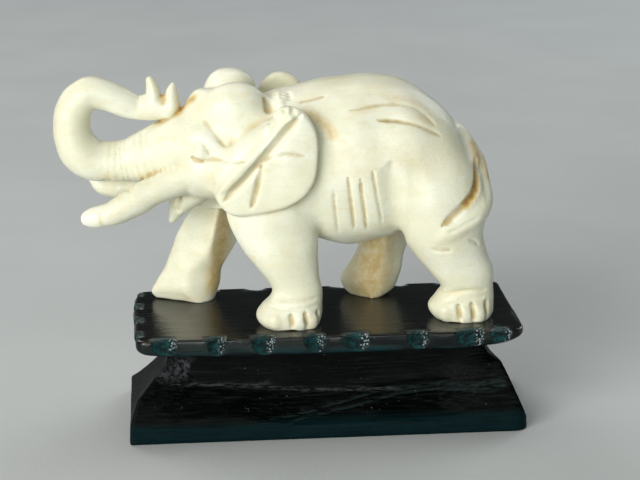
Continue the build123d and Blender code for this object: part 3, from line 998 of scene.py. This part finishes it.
def carving_finish():
    """Old, handled, cream carving: fine grain, high places paled by handling, brown dirt held in the cuts,
    stain marks, and painted shade in the hollows and on the far legs.
    """
    f = Finish("cream_carving")
    mottle = f.noise((0.09, 0.09, 0.09), 4.0, 0.55)
    cloud = f.noise((0.28, 0.35, 0.35), 3.0, 0.6)
    grain = f.noise((0.10, 1.9, 1.9), 4.0, 0.6, 0.4)
    pores = f.noise((0.9, 2.6, 2.6), 2.0, 0.6)
    patchy = f.remap(f.noise((0.7, 0.7, 0.7), 4.0, 0.65), 0.30, 0.66, 0.6, 1.0)
    colour = f.tint(f.remap(mottle, 0.38, 0.64), (0.80, 0.78, 0.61, 1), (0.87, 0.86, 0.73, 1))
    colour = f.tint(f.remap(cloud, 0.50, 0.78, 0.0, 0.40), colour, (0.78, 0.66, 0.38, 1))
    colour = f.tint(f.remap(grain, 0.52, 0.75, 0.0, 0.22), colour, (0.66, 0.52, 0.26, 1))
    colour = f.tint(f.remap(pores, 0.66, 0.80, 0.0, 0.30), colour, (0.50, 0.37, 0.18, 1))
    # Painted shade: tan over the wider hollows
    shade = f.remap(f.read("shade"), 0.03, 0.22, 0.0, 0.50)
    colour = f.tint(shade, colour, (0.66, 0.54, 0.26, 1))
    # Crevice tint: dirt held in the crevices, and painted shade where the surface closes in
    crevice = f.remap(f.read("hollow"), 0.05, 0.24, 0.0, 0.75)
    colour = f.tint(crevice, colour, (0.46, 0.32, 0.12, 1))
    line = f.maths("MULTIPLY", f.remap(f.read("line"), 0.08, 0.65, 0.0, 0.85), patchy)
    colour = f.tint(line, colour, (0.48, 0.36, 0.14, 1))
    colour = f.tint(f.remap(f.read("line"), 0.55, 0.9, 0.0, 0.6), colour, (0.24, 0.15, 0.05, 1))
    # Stain marks, and painted warm shade on the far legs, from one attribute
    stain_and_shade = f.maths("MULTIPLY", f.read("stain_and_shade"), patchy)
    colour = f.tint(f.remap(stain_and_shade, 0.03, 0.6, 0.0, 0.85), colour, (0.66, 0.46, 0.17, 1))
    colour = f.tint(f.remap(stain_and_shade, 0.45, 0.95, 0.0, 0.85), colour, (0.36, 0.18, 0.035, 1))
    colour = f.tint(f.remap(f.read("pale"), 0.0, 0.8, 0.0, 0.9), colour, (0.92, 0.90, 0.78, 1))
    rough = f.remap(f.noise((0.5, 1.4, 1.4), 4.0, 0.65), 0.35, 0.68, 0.32, 0.50)
    rough = f.maths("ADD", rough, f.maths("MULTIPLY", crevice, 0.3))
    relief = f.bump(f.noise((0.35, 3.2, 3.2), 3.0, 0.6), 0.045)
    relief = f.bump(f.noise((1.1, 1.1, 1.1), 3.0, 0.55), 0.07, relief)
    relief = f.bump(pores, 0.03, relief)
    return f.finish(
        Base_Color=colour,
        Roughness=rough,
        Normal=relief,
        Subsurface_Weight=0.14,
        Subsurface_Radius=(1.0, 0.62, 0.32),
        Subsurface_Scale=0.9 * MM,
        Coat_Weight=0.04,
        Coat_Roughness=0.25,
    )


def board_finish():
    """Black paint polished on top over open grain, dark on the edge with scuffed patches and painted
    blue-green reflected light low on it, torn in the nicks, with painted teal reflections and glints in
    them.
    """
    f = Finish("polished_black")
    streaks = f.noise((0.05, 3.0, 3.0), 4.0, 0.65)
    scratch = f.remap(f.noise((0.06, 5.0, 5.0), 2.0, 0.5), 0.64, 0.74)
    side = f.read("side")
    torn = f.read("nick")
    colour = f.tint(f.remap(streaks, 0.4, 0.7), (0.003, 0.003, 0.0035, 1), (0.011, 0.009, 0.007, 1))
    colour = f.tint(f.maths("MULTIPLY", scratch, 0.35), colour, (0.060, 0.055, 0.045, 1))
    wear_and_reflection = f.remap(f.noise((0.12, 0.5, 0.7), 3.0, 0.6), 0.38, 0.66)
    # Edge: scuffed patches, then painted blue-green reflected light low on the edge
    edge = f.tint(wear_and_reflection, (0.003, 0.005, 0.006, 1), (0.016, 0.022, 0.020, 1))
    edge = f.tint(f.maths("MULTIPLY", f.read("low"), wear_and_reflection), edge, (0.002, 0.027, 0.032, 1))
    colour = f.tint(side, colour, edge)
    blotch = f.remap(f.noise((0.5, 1.2, 1.2), 4.0, 0.65), 0.40, 0.62)
    # Painted reflected light: dark teal in the nicks, brighter teal on their sloped side
    colour = f.tint(f.remap(torn, 0.1, 0.7), colour, (0.004, 0.010, 0.012, 1))
    slope = f.maths("MULTIPLY", f.remap(torn, 0.1, 0.7), f.remap(f.read("torn_side"), 0.5, 0.1, 0.25, 1.0))
    colour = f.tint(f.maths("MULTIPLY", slope, blotch), colour, (0.004, 0.060, 0.064, 1))
    # Painted glints: pale specks on the torn side of the nicks
    glint_cells = f.remap(f.cells((2.4, 2.4, 2.4)), 0.50, 0.30)
    ragged = f.remap(f.noise((1.7, 1.7, 1.7), 3.0, 0.6), 0.40, 0.54)
    sparkle = f.maths("MULTIPLY", f.maths("MULTIPLY", glint_cells, f.remap(f.read("torn_side"), 0.15, 0.7)), ragged)
    colour = f.tint(f.maths("MULTIPLY", sparkle, 0.85), colour, (0.42, 0.50, 0.52, 1))
    rough = f.remap(streaks, 0.35, 0.7, 0.12, 0.28)
    rough = f.maths("ADD", rough, f.maths("MULTIPLY", side, 0.22))
    rough = f.maths("ADD", rough, f.maths("MULTIPLY", f.remap(torn, 0.1, 0.7), 0.1))
    relief = f.bump(streaks, 0.04)
    relief = f.bump(f.noise((0.25, 0.9, 0.9), 3.0, 0.6), 0.05, relief)
    relief = f.bump(f.maths("MULTIPLY", f.noise((2.2, 2.2, 2.2), 4.0, 0.7), torn), 0.5, relief)
    shine = f.remap(side, 0.0, 1.0, 0.5, 0.2)
    return f.finish(Base_Color=colour, Roughness=rough, Normal=relief, Specular_IOR_Level=shine)


def plinth_finish():
    """Matt black over open grain, with a few pale specks, painted blue-black reflected light low on the
    band, and painted highlights along the ridge and the knife slips.
    """
    f = Finish("matt_black")
    fibres = f.noise((0.10, 2.2, 2.2), 4.0, 0.7)
    patch = f.noise((0.12, 0.2, 0.2), 3.0, 0.6)
    colour = f.tint(f.remap(fibres, 0.45, 0.72), (0.0003, 0.0006, 0.0006, 1), (0.007, 0.010, 0.009, 1))
    colour = f.tint(f.remap(patch, 0.45, 0.7, 0.0, 0.5), colour, (0.004, 0.005, 0.005, 1))
    # Painted reflected light: blue-green low on the band
    band = f.maths("MULTIPLY", f.read("band"), f.remap(fibres, 0.3, 0.6, 0.5, 1.0))
    colour = f.tint(band, colour, (0.002, 0.012, 0.015, 1))
    chalky = f.remap(f.noise((1.2, 1.2, 1.2), 4.0, 0.7), 0.40, 0.62)
    scraped = f.maths("MULTIPLY", f.read("scraped"), chalky)
    colour = f.tint(f.maths("MULTIPLY", scraped, 0.8), colour, (0.110, 0.110, 0.125, 1))
    # Painted highlight along the ridge
    ridge_highlight = f.maths("MULTIPLY", f.read("ridge"), f.remap(f.noise((0.5, 2.5, 2.5), 3.0, 0.6), 0.42, 0.60))
    colour = f.tint(f.maths("MULTIPLY", ridge_highlight, 0.5), colour, (0.085, 0.090, 0.088, 1))
    # Painted highlight on the lower lip of the long knife slips
    slip = f.maths("MULTIPLY", f.read("slip"), f.remap(f.noise((0.25, 2.0, 2.0), 3.0, 0.6), 0.36, 0.54))
    colour = f.tint(f.maths("MULTIPLY", slip, 0.7), colour, (0.028, 0.046, 0.046, 1))
    specks = f.remap(f.noise((1.1, 2.4, 2.4), 2.0, 0.4), 0.74, 0.80)
    colour = f.tint(f.maths("MULTIPLY", specks, 0.5), colour, (0.16, 0.18, 0.17, 1))
    rough = f.remap(fibres, 0.35, 0.7, 0.42, 0.62)
    relief = f.bump(fibres, 0.12)
    relief = f.bump(f.noise((0.5, 1.0, 1.0), 3.0, 0.6), 0.14, relief)
    return f.finish(Base_Color=colour, Roughness=rough, Normal=relief, Specular_IOR_Level=0.055)


def peg_finish():
    """Pale split wood with its grain along the peg."""
    f = Finish("pale_peg_wood")
    fibres = f.noise((2.4, 2.4, 0.15), 4.0, 0.6)
    rings = f.noise((0.8, 0.8, 0.05), 2.0, 0.5)
    colour = f.tint(f.remap(rings, 0.4, 0.65), (0.62, 0.44, 0.24, 1), (0.50, 0.33, 0.16, 1))
    colour = f.tint(f.remap(fibres, 0.5, 0.75, 0.0, 0.5), colour, (0.36, 0.22, 0.10, 1))
    rough = f.remap(fibres, 0.3, 0.7, 0.5, 0.75)
    return f.finish(Base_Color=colour, Roughness=rough, Normal=f.bump(fibres, 0.06))


def floor_finish():
    """A plain pale studio sheet, which the camera sees fade into the backdrop."""
    f = Finish("studio_sheet")
    tone = f.remap(f.noise((0.02, 0.02, 0.02), 3.0, 0.5), 0.3, 0.7)
    colour = f.tint(tone, (0.54, 0.56, 0.57, 1), (0.57, 0.59, 0.60, 1))
    place = f.add("NewGeometry", {}).outputs["Position"]
    away = f.remap(f.add("VectorMath", {0: place}, operation="LENGTH").outputs["Value"], 0.3, 1.3)
    glow = f.maths("MULTIPLY", away, f.add("LightPath", {}).outputs["Is Camera Ray"])
    return f.finish(
        Base_Color=f.tint(away, colour, (0, 0, 0, 1)),
        Roughness=0.85,
        Specular_IOR_Level=0.1,
        Normal=f.bump(f.noise((1.2, 1.2, 1.2)), 0.04),
        Emission_Color=BACKDROP,
        Emission_Strength=glow,
    )


BACKDROP = (0.46, 0.48, 0.50, 1)
elephant.data.materials.append(carving_finish())
board_piece.data.materials.append(board_finish())
plinth_piece.data.materials.append(plinth_finish())
peg_wood = peg_finish()
for node in pegs + dowels:
    for slot in bpy.data.objects[node].material_slots:
        slot.link = "OBJECT"
        slot.material = peg_wood

# ---------------------------------------------------------------- stage and camera

bpy.context.scene.view_settings.view_transform = "Standard"
world = bpy.data.worlds.new("studio")
bpy.context.scene.world = world
world.use_nodes = True
sky = world.node_tree
seen = sky.nodes.new("ShaderNodeLightPath").outputs["Is Camera Ray"]
wash = sky.nodes.new("ShaderNodeMix")
wash.data_type = "RGBA"
wash.inputs[6].default_value = (0.038, 0.046, 0.046, 1)
wash.inputs[7].default_value = BACKDROP
sky.links.new(seen, wash.inputs[0])
sky.links.new(wash.outputs[2], sky.nodes["Background"].inputs[0])

floor_data = bpy.data.meshes.new("floor")
floor_data.from_pydata([(-2, -2, 0), (2, -2, 0), (2, 2, 0), (-2, 2, 0)], [], [(0, 1, 2, 3)])
floor = bpy.data.objects.new("floor", floor_data)
floor_data.materials.append(floor_finish())
bpy.context.scene.collection.objects.link(floor)


def soft_box(name, place, aim, size, power, tint):
    light = bpy.data.lights.new(name, "AREA")
    light.shape = "RECTANGLE"
    light.size, light.size_y = size
    light.energy = power
    light.color = tint
    holder = bpy.data.objects.new(name, light)
    holder.location = place
    holder.rotation_euler = (Vector(aim) - Vector(place)).to_track_quat("-Z", "Y").to_euler()
    bpy.context.scene.collection.objects.link(holder)


middle = (0, 0, 0.04)
soft_box("window", (-0.52, -0.60, 0.33), middle, (0.5, 0.5), 6.2, (1.0, 0.98, 0.92))
soft_box("front_fill", (-0.20, -1.00, 0.20), middle, (0.7, 0.4), 3.3, (0.89, 1.0, 0.93))
soft_box("overhead", (0.05, 0.15, 0.85), middle, (0.5, 0.5), 1.7, (1.0, 1.0, 0.96))
soft_box("far_fill", (-0.45, 0.60, 0.62), middle, (0.5, 0.5), 2.2, (1.0, 0.98, 0.94))
soft_box("rim", (0.50, 0.55, 0.40), middle, (0.35, 0.35), 1.3, (0.92, 0.98, 1.0))

eye = Vector((-0.03326, -0.36671, 0.14791))
aim = Vector((-0.00079, 0.0, 0.03802))
camera = bpy.data.objects.new("camera", bpy.data.cameras.new("camera"))
camera.data.lens = 103.6
camera.data.clip_start = 0.01
turn = (aim - eye).to_track_quat("-Z", "Y").to_matrix().to_4x4() @ Matrix.Rotation(radians(-0.2), 4, "Z")
camera.matrix_world = Matrix.Translation(eye) @ turn
bpy.context.scene.collection.objects.link(camera)
bpy.context.scene.camera = camera
